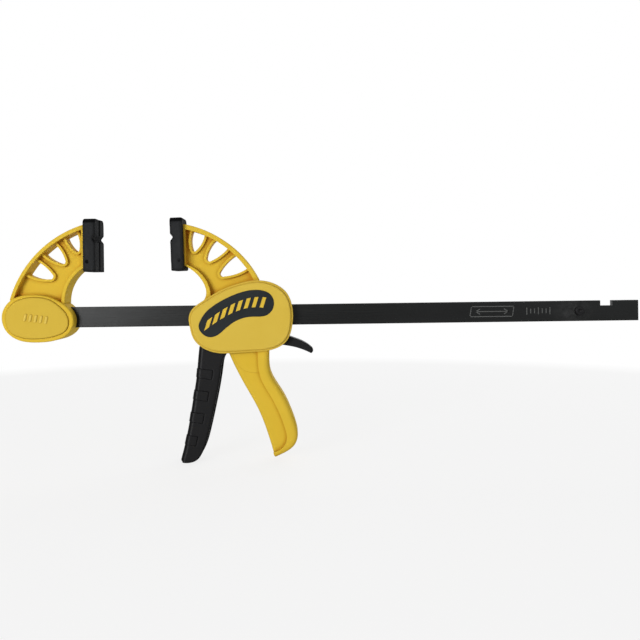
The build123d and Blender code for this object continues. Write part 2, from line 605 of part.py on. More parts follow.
# ---- all pieces ---------------------------------------------------------------------
def build_parts():
    pad = make_pad()
    return {
        "bar": make_bar(),
        "stop_pin": make_stop_pin(),
        "fixed_jaw": make_fixed_jaw(),
        "fixed_jaw_pad": Pos(0, 0, PAD_MID) * pad,
        "release_button": make_release_button(),
        "latch_key": make_latch_key(),
        "latch_spring": make_latch_spring(),
        "moving_jaw": make_moving_jaw(),
        "moving_jaw_pad": toe_in(Pos(OPENING, 0, PAD_MID) * Rot(0, 0, 180) * pad),
        "front_cover": make_cover(-1),
        "back_cover": make_cover(1),
        "label_plate": make_label_plate(),
        "cover_screws": make_cover_screws(),
        "trigger_pivot_pin": make_pivot_pin(TRIGGER_PIVOT),
        "release_pivot_pin": make_pivot_pin(BRAKE_PIVOT),
        "trigger": make_trigger(),
        "drive_plate_front": make_drive_plate(0),
        "drive_plate_rear": make_drive_plate(1),
        "drive_spring": make_drive_spring(),
        "brake_plate": make_brake_plate(),
        "release_lever": make_release_lever(),
        "brake_spring": make_brake_spring(),
    }


os.makedirs("parts", exist_ok=True)
for node, solid in build_parts().items():
    export_step(Pos(0, 0, -PAD_MID) * solid, f"parts/{node}.step")
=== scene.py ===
import logging
import math
from dataclasses import dataclass, field
from enum import Enum
from typing import Sequence, Union

import bmesh
import bpy
import numpy as np
from bpy.types import ID, Material, Mesh, Node, NodeSocket, Object, World
from mathutils import Matrix, Vector


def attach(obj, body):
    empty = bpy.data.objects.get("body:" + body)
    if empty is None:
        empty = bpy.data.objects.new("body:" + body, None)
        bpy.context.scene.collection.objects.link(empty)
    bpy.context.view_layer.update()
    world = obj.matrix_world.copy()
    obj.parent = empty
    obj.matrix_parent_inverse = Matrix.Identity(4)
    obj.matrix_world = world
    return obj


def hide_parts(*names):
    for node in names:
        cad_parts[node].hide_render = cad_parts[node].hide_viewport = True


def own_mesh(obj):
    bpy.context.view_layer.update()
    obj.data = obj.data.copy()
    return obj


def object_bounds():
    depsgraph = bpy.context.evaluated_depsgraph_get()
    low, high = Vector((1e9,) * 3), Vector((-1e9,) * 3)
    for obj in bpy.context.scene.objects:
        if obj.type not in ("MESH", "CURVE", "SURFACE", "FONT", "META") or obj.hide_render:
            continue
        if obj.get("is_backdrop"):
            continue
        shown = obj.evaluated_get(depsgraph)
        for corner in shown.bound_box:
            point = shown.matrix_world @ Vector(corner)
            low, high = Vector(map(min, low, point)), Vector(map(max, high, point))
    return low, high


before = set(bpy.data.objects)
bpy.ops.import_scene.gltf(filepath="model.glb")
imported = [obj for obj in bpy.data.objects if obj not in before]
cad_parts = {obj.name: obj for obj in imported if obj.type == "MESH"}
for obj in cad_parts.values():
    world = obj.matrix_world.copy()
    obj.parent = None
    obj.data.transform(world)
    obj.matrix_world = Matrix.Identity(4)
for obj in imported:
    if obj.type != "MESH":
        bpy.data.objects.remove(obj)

# Looks of a quick release bar clamp. Lengths in the sub-assemblies are in millimetres,
# measured as on the drawing: X along the bar from the fixed pad's face, Z up from the
# middle of the bar, Y through the depth with the push button side at negative Y. Lengths
# in the finishes and the lamps are in metres, and scales are per metre.

LOG = logging.getLogger("clamp")
MM = 0.001
PAD_MID = 61.0  # the row's origin above the middle of the bar
NOISE_MEAN = 0.5
EVEN = (1.0, 1.0, 1.0)  # stretches nothing
WHITE = (1.0, 1.0, 1.0)

Colour = tuple[float, float, float]
Spot = tuple[float, float, float]
Flat = tuple[float, float]
Face = tuple[int, ...]
Number = Union[float, "Term"]
Paint = Union[Colour, "Term"]


def linear(red: float, green: float, blue: float) -> Colour:
    """Turn a colour written as 0-255 screen values into linear light.

    A channel c from 0 to 1 becomes c / 12.92 in the darkest part, and
    ((c + 0.055) / 1.055) ^ 2.4 above it.

    Args:
        red: the screen's red, from 0 to 255.
        green: its green.
        blue: its blue.

    Returns:
        The same colour as three linear values.
    """
    def one(value: float) -> float:
        """Give one channel in linear light."""
        share = value / 255.0
        return share / 12.92 if share <= 0.04045 else ((share + 0.055) / 1.055) ** 2.4
    return one(red), one(green), one(blue)


def place(points: np.ndarray) -> np.ndarray:
    """Carry points from the drawing's millimetres into the row's metres."""
    return (np.asarray(points, float) - np.array([0.0, 0.0, PAD_MID])) * MM


def show(name: str, data: ID) -> Object:
    """Make an object of a mesh, lamp or camera, at the origin.

    Args:
        name: the object's name.
        data: what it shows.

    Returns:
        The object, linked to the scene.
    """
    made = bpy.data.objects.new(name, data)
    bpy.context.scene.collection.objects.link(made)
    return made


# ---- shader expressions ----
@dataclass(frozen=True)
class Term:
    """A value that changes over a surface, held as the socket that gives it."""

    graph: "Graph"
    socket: NodeSocket

    def __add__(self, other: Number) -> "Term":
        """Sum."""
        return self.graph.math("ADD", self, other)

    def __sub__(self, other: Number) -> "Term":
        """Difference."""
        return self.graph.math("SUBTRACT", self, other)

    def __rsub__(self, other: Number) -> "Term":
        """A number less this term."""
        return self.graph.math("SUBTRACT", other, self)

    def __mul__(self, other: Number) -> "Term":
        """Product."""
        return self.graph.math("MULTIPLY", self, other)

    __radd__ = __add__
    __rmul__ = __mul__

    def swing(self, amount: float) -> "Term":
        """Noise about its mean, times an amount."""
        return (self - NOISE_MEAN) * amount


@dataclass(frozen=True)
class Band:
    """A mask that rises from 0 to its share while a value goes from low to high."""

    low: float
    high: float
    share: float = 1.0

    def of(self, value: Term) -> Term:
        """Take the mask from a value.

        Args:
            value: what the mask follows.

        Returns:
            The mask, held at both its ends.
        """
        graph = value.graph
        inputs = {"Value": value, "From Min": self.low, "From Max": self.high}
        mask = graph.term(graph.node("MapRange", inputs, clamp=True))
        return mask if self.share == 1.0 else mask * self.share


@dataclass(frozen=True)
class Noise:
    """Fractal noise on Object coordinates."""

    scale: float
    detail: float = 2.0
    roughness: float = 0.5
    stretch: Spot = EVEN  # below 1 draws the noise out along that axis

    def on(self, graph: "Graph") -> Term:
        """Add the noise to a material.

        Args:
            graph: the material's graph.

        Returns:
            The noise, from 0 to 1.
        """
        made = graph.node("TexNoise", {"Vector": graph.coordinates(self.stretch),
                                       "Scale": self.scale, "Detail": self.detail,
                                       "Roughness": self.roughness})
        return graph.term(made, "Fac")


class Graph:
    """The node tree of one material or world, with a single way of adding any node."""

    MIX_SHARE, MIX_FIRST, MIX_SECOND, MIX_RESULT = 0, 6, 7, 2  # a colour Mix node's sockets
    EDGE_SAMPLES = 8
    CORNER_SAMPLES = 16
    EDGE_TURN = Band(0.015, 0.2)  # 1 minus the cosine of the turn that counts as an edge

    def __init__(self, owner: Material | World) -> None:
        """Take over a new material's or world's node tree, and empty it.

        Args:
            owner: the material or world.
        """
        self.owner = owner
        owner.use_nodes = True
        self.tree = owner.node_tree
        self.tree.nodes.clear()

    def node(self, kind: str, inputs: dict | None = None, **settings: object) -> Node:
        """Add a node, set it up, then fill its sockets.

        Args:
            kind: the node's type, less the word that all shader nodes start with.
            inputs: values, colours or terms by socket name or number.
            **settings: attributes of the node, which are set first.

        Returns:
            The new node.
        """
        made = self.tree.nodes.new("ShaderNode" + kind)
        for key, value in settings.items():
            setattr(made, key, value)
        for key, value in (inputs or {}).items():
            if isinstance(value, Term):
                self.tree.links.new(value.socket, made.inputs[key])
            elif isinstance(value, tuple) and made.inputs[key].type == "RGBA":
                made.inputs[key].default_value = (*value, 1.0)
            else:
                made.inputs[key].default_value = value
        return made

    def term(self, made: Node, output: int | str = 0) -> Term:
        """Wrap one output of a node."""
        return Term(self, made.outputs[output])

    def math(self, operation: str, left: Number, right: Number) -> Term:
        """Add a Math node for two values."""
        return self.term(self.node("Math", {0: left, 1: right}, operation=operation))

    def coordinates(self, stretch: Spot = EVEN) -> Term:
        """Give Object coordinates in metres, stretched on each axis by a Mapping node."""
        source = self.term(self.node("TexCoord"), "Object")
        return self.term(self.node("Mapping", {"Vector": source, "Scale": stretch}))

    def distance(self, centre: Spot, stretch: Spot = EVEN) -> Term:
        """Measure how far the surface is from a point, as the coordinates are stretched.

        Args:
            centre: the point, in metres and not yet stretched.
            stretch: the factor on each axis.

        Returns:
            The distance in metres.
        """
        target = tuple(value * factor for value, factor in zip(centre, stretch))
        gap = self.node("VectorMath", {0: self.coordinates(stretch), 1: target},
                        operation="DISTANCE")
        return self.term(gap, "Value")

    def spots(self, scale: float) -> Term:
        """Give a pebbled texture: the distance to the nearest of so many cells per metre."""
        inputs = {"Vector": self.coordinates(), "Scale": scale}
        return self.term(self.node("TexVoronoi", inputs, feature="F1"), "Distance")

    def blend(self, share: Number, first: Paint, second: Paint) -> Term:
        """Mix two colours: a share of 0 shows the first, and a share of 1 the second."""
        inputs = {self.MIX_SHARE: share, self.MIX_FIRST: first, self.MIX_SECOND: second}
        return self.term(self.node("Mix", inputs, data_type="RGBA"), self.MIX_RESULT)

    def part(self, vector: Term, axis: str) -> Term:
        """Take X, Y or Z of a vector."""
        return self.term(self.node("SeparateXYZ", {0: vector}), axis)

    def soft_normal(self, radius: float) -> Term:
        """Give the surface's normal, softened over its edges within a radius."""
        return self.term(self.node("Bevel", {"Radius": radius}, samples=self.EDGE_SAMPLES))

    def rounded_edges(self, radius: float, turn: Band = EDGE_TURN) -> tuple[Term, Term]:
        """Soften the normal over the edges, and find them.

        Args:
            radius: how far the rounding reaches.
            turn: how far the normal turns on an edge, as 1 minus the cosine.

        Returns:
            The soft normal, and a mask that is 1 on the edges.
        """
        soft = self.soft_normal(radius)
        true = self.term(self.node("NewGeometry"), "Normal")
        dot = self.node("VectorMath", {0: soft, 1: true}, operation="DOT_PRODUCT")
        return soft, turn.of(1.0 - self.term(dot, "Value"))

    def closeness(self, reach: float) -> Term:
        """Tell how far faces within reach close a point in: about 0.5 in a square corner."""
        made = self.node("AmbientOcclusion", {"Distance": reach}, samples=self.CORNER_SAMPLES)
        return 1.0 - self.term(made, "AO")

    def relief(self, height: Term, depth: float, under: Term) -> Term:
        """Add a bump over an earlier normal, where a height of 1 stands for the depth."""
        return self.term(self.node("Bump", {"Height": height, "Strength": 1.0,
                                            "Distance": depth, "Normal": under}))

    def surface(self, **inputs: object) -> Material:
        """Finish the material with a Principled shader.

        Args:
            **inputs: values or terms for its sockets, named with _ for spaces.

        Returns:
            The finished material.
        """
        named = {key.replace("_", " "): value for key, value in inputs.items()}
        shader = self.node("BsdfPrincipled", named)
        self.node("OutputMaterial", {"Surface": self.term(shader)})
        return self.owner


# ---- finishes ----
@dataclass(frozen=True)
class MouldedNylon:
    """Glass-filled nylon as it comes from a spark-textured mould."""

    name: str
    colour: Colour
    deep: Colour  # in the clouds, where it is darker
    painted_shade: Colour  # painted shade near the corners
    grime_and_shade: Colour  # deep in the corners: grime, with painted shade
    wear_and_highlight: Colour  # lighter edges: rubbed wear and painted highlight
    roughness: float = 0.46
    specular: float = 0.02
    cloud: Noise = Noise(28.0, 3.0, 0.55)  # slow change of the colour
    clouded: Band = Band(0.3, 0.75, 0.5)
    fine: Noise = Noise(420.0, 3.0, 0.6)  # small change, which breaks up the wear and the painted highlight
    patchy: Band = Band(0.35, 0.65)
    grain: float = 1500.0  # pebbles per metre
    grain_depth: float = 0.000014
    wave: Noise = Noise(70.0)  # slow waves of the skin
    wave_depth: float = 0.00006
    edge_radius: float = 0.0005
    edge_lift: float = 0.15  # how much lighter the edges (rubbed wear and painted highlight) and the front line (painted highlight) are
    corner_reach: float = 0.009  # how near a facing wall makes a corner
    cornered: Band = Band(0.34, 0.82)
    grime_and_shade_share: float = 0.8
    painted_shade_reach: float = 0.0045
    painted_shade_band: Band = Band(0.1, 0.42, 0.55)
    fine_gloss: float = 0.14  # how far each one changes the roughness
    cloud_gloss: float = 0.1
    corner_gloss: float = 0.45
    rounding_shade: float = 0.0  # share of painted shade on the front and rear roundings
    front_reach: float = 0.0022  # how far round the front edge the painted shade and highlight reach
    rear_reach: float = 0.005
    front_turn: Band = Band(0.3, 0.62)  # parts of the soft normal's turn: the dark front,
    rear_turn: Band = Band(0.25, 0.55)  # the dark rear,
    line_start: Band = Band(0.06, 0.16)  # and the light line's two sides
    line_end: Band = Band(0.26, 0.42)
    line_patchy: Band = Band(0.2, 0.7)

    def make(self) -> Material:
        """Build the material: mottled colour, pebbled relief, edges with rubbed wear and painted
        highlight, corners with painted shade and grime.

        Returns:
            The material.
        """
        graph = Graph(bpy.data.materials.new(self.name))
        normal, edge = graph.rounded_edges(self.edge_radius)
        cloud = self.cloud.on(graph)
        fine = self.fine.on(graph)
        corner = self.cornered.of(graph.closeness(self.corner_reach))
        # painted shade: a soft darker band where facing walls are near
        beside = self.painted_shade_band.of(graph.closeness(self.painted_shade_reach))
        # edges lighter in patches: rubbed wear and painted highlight
        worn = edge * self.patchy.of(fine) * self.edge_lift
        colour = graph.blend(self.clouded.of(cloud), self.colour, self.deep)
        colour = graph.blend(beside, colour, self.painted_shade)
        # deep in the corners: grime, with painted shade and its orange bounce
        colour = graph.blend(corner * self.grime_and_shade_share, colour, self.grime_and_shade)
        colour = graph.blend(worn, colour, self.wear_and_highlight)
        # painted shade on the roundings, and a painted highlight beside the front one
        if self.rounding_shade > 0.0:
            colour = self.paint_rounding_light(graph, colour, fine)
        roughness = (self.roughness + fine.swing(self.fine_gloss)
                     + cloud.swing(self.cloud_gloss) + corner * self.corner_gloss)
        bumped = graph.relief(graph.spots(self.grain), self.grain_depth, normal)
        bumped = graph.relief(self.wave.on(graph), self.wave_depth, bumped)
        return graph.surface(Base_Color=colour, Roughness=roughness, Normal=bumped,
                             Specular_IOR_Level=self.specular)

    def paint_rounding_light(self, graph: Graph, colour: Term, fine: Term) -> Term:
        """Darken the front and rear roundings with painted shade, and paint a highlight on the
        line beside the front one.

        The masks come from the X part of a normal that is softened over the edges: it is 0
        on the flat sides, and reaches -1 on the front and 1 on the rear.

        Args:
            graph: the material's graph.
            colour: the colour so far.
            fine: fine noise that breaks up the light line.

        Returns:
            The colour with both added.
        """
        front = 0.0 - graph.part(graph.soft_normal(self.front_reach), "X")
        rear = graph.part(graph.soft_normal(self.rear_reach), "X")
        flank = graph.math("MAXIMUM", self.front_turn.of(front), self.rear_turn.of(rear))
        line = self.line_start.of(front) * (1.0 - self.line_end.of(front))
        light = line * self.line_patchy.of(fine) * self.edge_lift
        colour = graph.blend(light, colour, self.wear_and_highlight)
        return graph.blend(flank * self.rounding_shade, colour, self.grime_and_shade)


@dataclass(frozen=True)
class SoftRubber:
    """Soft pad material with a matt skin and light scuffs."""

    name: str
    colour: Colour
    scuffed: Colour
    rim_and_fold_shade: Colour  # painted shade on the edges and in the folds
    top_shade: Colour  # painted shade on what faces up, darker still
    roughness: float = 0.62
    specular: float = 0.01
    edge_radius: float = 0.0019
    rim_radius: float = 0.0048  # a wider, fainter rounding
    rim_turn: Band = Band(0.012, 0.12)
    rim_shade_share: float = 0.75
    upward: Band = Band(0.04, 0.24, 0.85)  # of the soft normal's Z
    fold_reach: float = 0.0035
    folded: Band = Band(0.12, 0.4, 0.85)
    scuff: Noise = Noise(160.0, 6.0, 0.7, (1.0, 1.0, 0.35))
    scuffing: Band = Band(0.5, 0.78)
    scuff_share: float = 0.2
    scuff_gloss: float = 0.08
    dust: Noise = Noise(45.0, 3.0)
    dusted: Band = Band(0.45, 0.8, 0.15)
    dust_gloss: float = 0.2
    pebbles: float = 2200.0
    pebble_depth: float = 0.00002
    skin: Noise = Noise(300.0, 4.0)
    skin_depth: float = 0.00005

    def make(self) -> Material:
        """Build the material: matt skin with dusty scuffs, and painted shade on the edges, in the
        folds and on the top.

        Returns:
            The material.
        """
        graph = Graph(bpy.data.materials.new(self.name))
        normal, edge = graph.rounded_edges(self.edge_radius)
        rim = graph.rounded_edges(self.rim_radius, self.rim_turn)[1]
        scuff = self.scuffing.of(self.scuff.on(graph))
        dust = self.dust.on(graph)
        # painted shade on the edges and the wider rims
        rim_shade = graph.math("MAXIMUM", edge, rim) * self.rim_shade_share
        fold = self.folded.of(graph.closeness(self.fold_reach))
        colour = graph.blend(scuff * self.scuff_share, self.colour, self.scuffed)
        colour = graph.blend(self.dusted.of(dust), colour, self.scuffed)
        colour = graph.blend(rim_shade, colour, self.rim_and_fold_shade)
        # painted shade on what faces up
        colour = graph.blend(self.upward.of(graph.part(normal, "Z")), colour, self.top_shade)
        # painted shade in the folds
        colour = graph.blend(fold, colour, self.rim_and_fold_shade)
        roughness = self.roughness + dust.swing(self.dust_gloss) - scuff * self.scuff_gloss
        bumped = graph.relief(graph.spots(self.pebbles), self.pebble_depth, normal)
        bumped = graph.relief(self.skin.on(graph), self.skin_depth, bumped)
        return graph.surface(Base_Color=colour, Roughness=roughness, Normal=bumped,
                             Specular_IOR_Level=self.specular)


@dataclass(frozen=True)
class DrawnSteel:
    """Steel with its grain drawn along X, blackened or bare."""

    name: str
    colour: Colour
    bright: Colour  # what shows where the finish has rubbed away
    metallic: float
    roughness: float
    rub: float = 0.5  # share of the edges that is rubbed bright
    specular: float = 0.4
    edge_radius: float = 0.0004
    pale: float = 1.9  # how much lighter than the colour the shades go
    grain: Noise = Noise(2600.0, 3.0, 0.6, (0.012, 1.0, 1.0))
    grain_share: float = 0.16
    grain_depth: float = 0.000012
    cloud: Noise = Noise(32.0, 4.0, 0.6, (0.4, 1.0, 1.0))
    clouded: Band = Band(0.3, 0.7, 0.3)
    streak: Noise = Noise(260.0, 3.0, 0.65, (0.03, 1.0, 1.0))
    streaked: Band = Band(0.42, 0.68, 0.28)
    patch: Noise = Noise(140.0, 5.0, 0.7, (0.3, 1.0, 1.0))
    patched: Band = Band(0.45, 0.7)
    cloud_gloss: float = 0.2
    grain_gloss: float = 0.16
    worn_at: Spot | None = None  # where parts have rubbed on the face
    worn_stretch: Spot = (0.55, 1.0, 1.0)
    worn_fade: Band = Band(0.002, 0.011)  # of the distance from that place
    worn_share: float = 0.16
    blot: Noise = Noise(170.0, 4.0, 0.65)
    blotted: Band = Band(0.42, 0.66)

    def make(self) -> Material:
        """Build the material: long grain, cloudy oxide and bright worn edges.

        Returns:
            The material.
        """
        graph = Graph(bpy.data.materials.new(self.name))
        normal, edge = graph.rounded_edges(self.edge_radius)
        grain = self.grain.on(graph)
        cloud = self.cloud.on(graph)
        patch = self.patched.of(self.patch.on(graph))
        shade = (self.clouded.of(cloud) + grain * self.grain_share
                 + self.streaked.of(self.streak.on(graph)))
        paler = tuple(channel * self.pale for channel in self.colour)
        colour = graph.blend(shade, self.colour, paler)
        colour = graph.blend(edge * patch * self.rub, colour, self.bright)
        if self.worn_at is not None:
            gap = graph.distance(self.worn_at, self.worn_stretch)
            worn = (1.0 - self.worn_fade.of(gap)) * self.blotted.of(self.blot.on(graph))
            colour = graph.blend(worn * self.worn_share, colour, self.bright)
        roughness = self.roughness + cloud.swing(self.cloud_gloss) + grain.swing(self.grain_gloss)
        bumped = graph.relief(grain, self.grain_depth, normal)
        return graph.surface(Base_Color=colour, Metallic=self.metallic, Roughness=roughness,
                             Normal=bumped, Specular_IOR_Level=self.specular)


@dataclass(frozen=True)
class PrintedFilm:
    """A printed plastic inlay or an ink mark, with a satin lacquer."""

    name: str
    colour: Colour
    faded: Colour
    roughness: float = 0.38
    specular: float = 0.08
    edge_radius: float = 0.0003
    edge_share: float = 0.3  # how far the edges have faded
    fade: Noise = Noise(60.0, 4.0, 0.6)
    fading: Band = Band(0.35, 0.8, 0.5)
    fade_gloss: float = 0.18
    lacquer: Noise = Noise(900.0)
    lacquer_depth: float = 0.000015

    def make(self) -> Material:
        """Build the material: even ink with faint fading and orange-peel lacquer.

        Returns:
            The material.
        """
        graph = Graph(bpy.data.materials.new(self.name))
        normal, edge = graph.rounded_edges(self.edge_radius)
        fade = self.fade.on(graph)
        pale = self.fading.of(fade) + edge * self.edge_share
        colour = graph.blend(pale, self.colour, self.faded)
        roughness = self.roughness + fade.swing(self.fade_gloss)
        bumped = graph.relief(self.lacquer.on(graph), self.lacquer_depth, normal)
        return graph.surface(Base_Color=colour, Roughness=roughness, Normal=bumped,
                             Specular_IOR_Level=self.specular)


YELLOW = linear(222, 187, 62)
YELLOW_DEEP = linear(216, 180, 52)
YELLOW_SATIN = linear(217, 186, 76)
YELLOW_SATIN_DEEP = linear(209, 175, 62)
# painted shade near the corners of the yellow mouldings
YELLOW_PAINTED_SHADE = linear(186, 148, 34)
# grime with painted shade and orange bounce, deep in corners
YELLOW_GRIME_AND_SHADE = linear(190, 120, 32)
# rubbed wear and painted highlight on the edges
YELLOW_WEAR_AND_HIGHLIGHT = linear(240, 208, 110)


class Finish(Enum):
    """Every finish on the clamp."""

    YELLOW_NYLON = MouldedNylon(
        "yellow_nylon", YELLOW, YELLOW_DEEP, YELLOW_PAINTED_SHADE, YELLOW_GRIME_AND_SHADE, YELLOW_WEAR_AND_HIGHLIGHT)
    YELLOW_COVER = MouldedNylon(
        "yellow_cover", YELLOW_SATIN, YELLOW_SATIN_DEEP, YELLOW_PAINTED_SHADE, YELLOW_GRIME_AND_SHADE, YELLOW_WEAR_AND_HIGHLIGHT,
        roughness=0.4, grain=2100.0, grain_depth=0.00001)
    YELLOW_BUTTON = MouldedNylon(
        "yellow_button", linear(211, 179, 66), YELLOW_SATIN_DEEP, YELLOW_PAINTED_SHADE, YELLOW_GRIME_AND_SHADE,
        YELLOW_WEAR_AND_HIGHLIGHT, roughness=0.42, grain=2100.0, grain_depth=0.00001)
    # the ribs are the button's own yellow made lighter: painted highlight
    YELLOW_RIB_HIGHLIT = MouldedNylon(
        "yellow_rib_highlit", linear(221, 192, 88), YELLOW_SATIN, YELLOW_PAINTED_SHADE, YELLOW_GRIME_AND_SHADE,
        YELLOW_WEAR_AND_HIGHLIGHT, roughness=0.4, grain=2100.0, grain_depth=0.00001, edge_radius=0.0003)
    # its third colour is painted shade near corners, its fourth grime with painted shade in
    # grooves and on the roundings, its fifth rubbed wear and painted highlight
    BLACK_NYLON = MouldedNylon(
        "black_nylon", linear(34, 34, 35), linear(28, 28, 29), linear(20, 20, 21),
        linear(3, 3, 3), linear(76, 76, 77), roughness=0.34, specular=0.05, grain=1300.0,
        grain_depth=0.00003, edge_radius=0.0006, edge_lift=0.45, corner_reach=0.002,
        grime_and_shade_share=0.9, rounding_shade=0.8)
    # the last two colours are painted shade: on the edges and folds, and on the top
    PAD = SoftRubber(
        "pad_rubber", linear(43, 44, 45), linear(74, 75, 77), linear(15, 15, 16),
        linear(6, 6, 7))
    BAR = DrawnSteel(
        "blackened_bar", linear(19, 20, 20), linear(120, 120, 120), metallic=0.25,
        roughness=0.3, specular=0.2, worn_at=(0.406, 0.0, -0.0615))
    STEEL = DrawnSteel(
        "hardened_steel", linear(120, 121, 124), linear(196, 196, 196), metallic=0.95,
        roughness=0.34)
    PIN = DrawnSteel(
        "pin_steel", linear(70, 71, 74), linear(180, 180, 180), metallic=0.85, roughness=0.34,
        rub=0.6)
    BLACK_PIN = DrawnSteel(
        "blackened_pin", linear(24, 24, 25), linear(118, 118, 118), metallic=0.5,
        roughness=0.36, rub=0.35, specular=0.2)
    SCREW = DrawnSteel(
        "screw_steel", linear(48, 48, 51), linear(160, 160, 160), metallic=0.8, roughness=0.38,
        rub=0.7)
    WIRE = DrawnSteel(
        "spring_wire", linear(140, 141, 144), linear(200, 200, 200), metallic=0.95,
        roughness=0.28)
    LABEL = PrintedFilm("label_film", linear(34, 38, 40), linear(48, 52, 53))
    INK = PrintedFilm("yellow_ink", linear(222, 186, 62), linear(204, 168, 54), roughness=0.42)
    ETCH = PrintedFilm("etched_line", linear(96, 97, 96), linear(66, 67, 66), roughness=0.5)


class Wardrobe:
    """Keeps each finish's material, made once, and dresses objects in it."""

    def __init__(self) -> None:
        """Start with no material made."""
        self.made: dict[Finish, Material] = {}

    def material(self, finish: Finish) -> Material:
        """Give a finish's material, making it on first use.

        Args:
            finish: which one.

        Returns:
            Its material.
        """
        if finish not in self.made:
            self.made[finish] = finish.value.make()
        return self.made[finish]

    def dress(self, node: str, finish: Finish) -> None:
        """Give a CAD node its finish.

        Args:
            node: the CAD node's name.
            finish: what it is made of.
        """
        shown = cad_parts[node]
        shown.data.materials.clear()
        shown.data.materials.append(self.material(finish))


# ---- shapes from arrays ----
@dataclass(frozen=True)
class Shape:
    """A closed surface: points on the drawing, and faces that list their numbers."""

    points: np.ndarray
    faces: list[Face]

    @classmethod
    def prism(cls, outline: np.ndarray, near: float, far: float) -> "Shape":
        """Carry an outline straight through the depth, as two rings.

        Corner k gives the points (x_k, near, z_k) and (x_k, far, z_k).

        Args:
            outline: an (n, 2) array of X and Z.
            near: the first ring's Y.
            far: the second ring's Y.

        Returns:
            The shape.
        """
        grid = np.empty((2, len(outline), 3))
        grid[:, :, [0, 2]] = outline
        grid[:, :, 1] = [[near], [far]]
        return cls.rings(grid)

    @classmethod
    def rings(cls, grid: np.ndarray) -> "Shape":
        """Skin a row of closed rings, and cap the first and the last.

        Each face has the corners (i, j), (i, j + 1), (i + 1, j + 1) and (i + 1, j) of the
        grid, with j counted round the ring.

        Args:
            grid: an (i, j, 3) array: point j of ring i.

        Returns:
            The shape.
        """
        steps, sides = grid.shape[:2]
        first = np.arange(steps - 1)[:, None] * sides + np.arange(sides)[None, :]
        second = np.roll(first, -1, axis=1)
        quads = np.stack([first, second, second + sides, first + sides], axis=-1)
        ends = [list(range(sides))[::-1], list(range((steps - 1) * sides, steps * sides))]
        faces = [tuple(face) for face in quads.reshape(-1, 4).tolist() + ends]
        return cls(grid.reshape(-1, 3), faces)

    @classmethod
    def tube(cls, path: np.ndarray, radius: float, sides: int) -> "Shape":
        """Carry a circle along a path: a point is path + r (cos a side + sin a up).

        The side vector is the tangent crossed with the axis along which the path is
        longest, and the up vector is the side crossed with the tangent.

        Args:
            path: an (n, 3) array.
            radius: the circle's radius r.
            sides: how many points go round it.

        Returns:
            The shape.
        """
        tangent = np.gradient(path, axis=0)
        tangent /= np.linalg.norm(tangent, axis=1, keepdims=True)
        guide = np.eye(3)[int(np.argmax(np.ptp(path, axis=0)))]
        side = np.cross(tangent, guide)
        side /= np.linalg.norm(side, axis=1, keepdims=True)
        up = np.cross(side, tangent)
        angle = np.linspace(0.0, 2.0 * np.pi, sides, endpoint=False)[None, :, None]
        around = np.cos(angle) * side[:, None, :] + np.sin(angle) * up[:, None, :]
        return cls.rings(path[:, None, :] + radius * around)

    @classmethod
    def joined(cls, shapes: Sequence["Shape"]) -> "Shape":
        """Put several shapes into one.

        Args:
            shapes: the shapes, which stay apart from each other.

        Returns:
            One shape with all their points and faces.
        """
        faces: list[Face] = []
        start = 0
        for shape in shapes:
            faces += [tuple(number + start for number in face) for face in shape.faces]
            start += len(shape.points)
        return cls(np.vstack([shape.points for shape in shapes]), faces)

    def piece(self, name: str, material: Material, smooth: bool = True) -> Object:
        """Make the shape an object at the origin, with every face outwards.

        Args:
            name: the object's name.
            material: what it is made of.
            smooth: whether the faces are shaded smooth.

        Returns:
            The object, linked to the scene.
        """
        data = bpy.data.meshes.new(name)
        data.from_pydata(place(self.points).tolist(), [], self.faces)
        data.polygons.foreach_set("use_smooth", [smooth] * len(data.polygons))
        work = bmesh.new()
        work.from_mesh(data)
        bmesh.ops.recalc_face_normals(work, faces=work.faces)
        work.to_mesh(data)
        work.free()
        data.materials.append(material)
        return show(name, data)


# ---- parts that a sub-assembly holds ----
@dataclass(frozen=True)
class Spring:
    """A compression spring with closed ends."""

    name: str
    node: str
    body: str
    joint: str
    start: Spot
    axis: int  # 0 for X, 1 for Y
    length: float
    radius: float
    wire: float  # the wire's radius
    turns: int  # open turns, between the closed ones
    keep: float  # share of its length that is left at the joint's limit
    fixed: float  # where its fixed end is along the axis
    closed: int = 2  # closed turns, one at each end
    closed_rise: float = 2.2  # what both closed turns rise together, in wire radii
    per_turn: int = 28  # points on each turn
    sides: int = 10  # points round the wire

    def build(self, wardrobe: Wardrobe) -> Object:
        """Wind the spring and put it on its body.

        Args:
            wardrobe: gives the wire's material.

        Returns:
            The spring.
        """
        shape = Shape.tube(self.helix(), self.wire, self.sides)
        piece = shape.piece(self.name, wardrobe.material(Finish.WIRE))
        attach(piece, self.body)
        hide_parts(self.node)
        anchor = np.array(self.start, float)
        anchor[self.axis] = self.fixed
        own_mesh(piece)
        return piece

    def helix(self) -> np.ndarray:
        """Wind the wire's middle line: a circle that rises slowly over its closed turns.

        With t from 0 to 1, the point is at the angle 2 pi n t, n being all the turns. Its
        height rises by half the closed rise over the first turn and over the last, and by
        the rest of the way evenly in between.

        Returns:
            An (n, 3) array of points.
        """
        turns = self.turns + self.closed
        step = np.linspace(0.0, 1.0, turns * self.per_turn)
        angle = 2.0 * np.pi * turns * step
        low, high = self.wire, self.length - self.wire
        rise = self.closed_rise * self.wire / 2.0
        height = np.interp(step, [0.0, 1.0 / turns, 1.0 - 1.0 / turns, 1.0],
                           [low, low + rise, high - rise, high])
        across, upright = [index for index in range(3) if index != self.axis]
        path = np.empty((len(step), 3))
        path[:, self.axis] = self.start[self.axis] + height
        path[:, across] = self.start[across] + self.radius * np.cos(angle)
        path[:, upright] = self.start[upright] + self.radius * np.sin(angle)
        return path


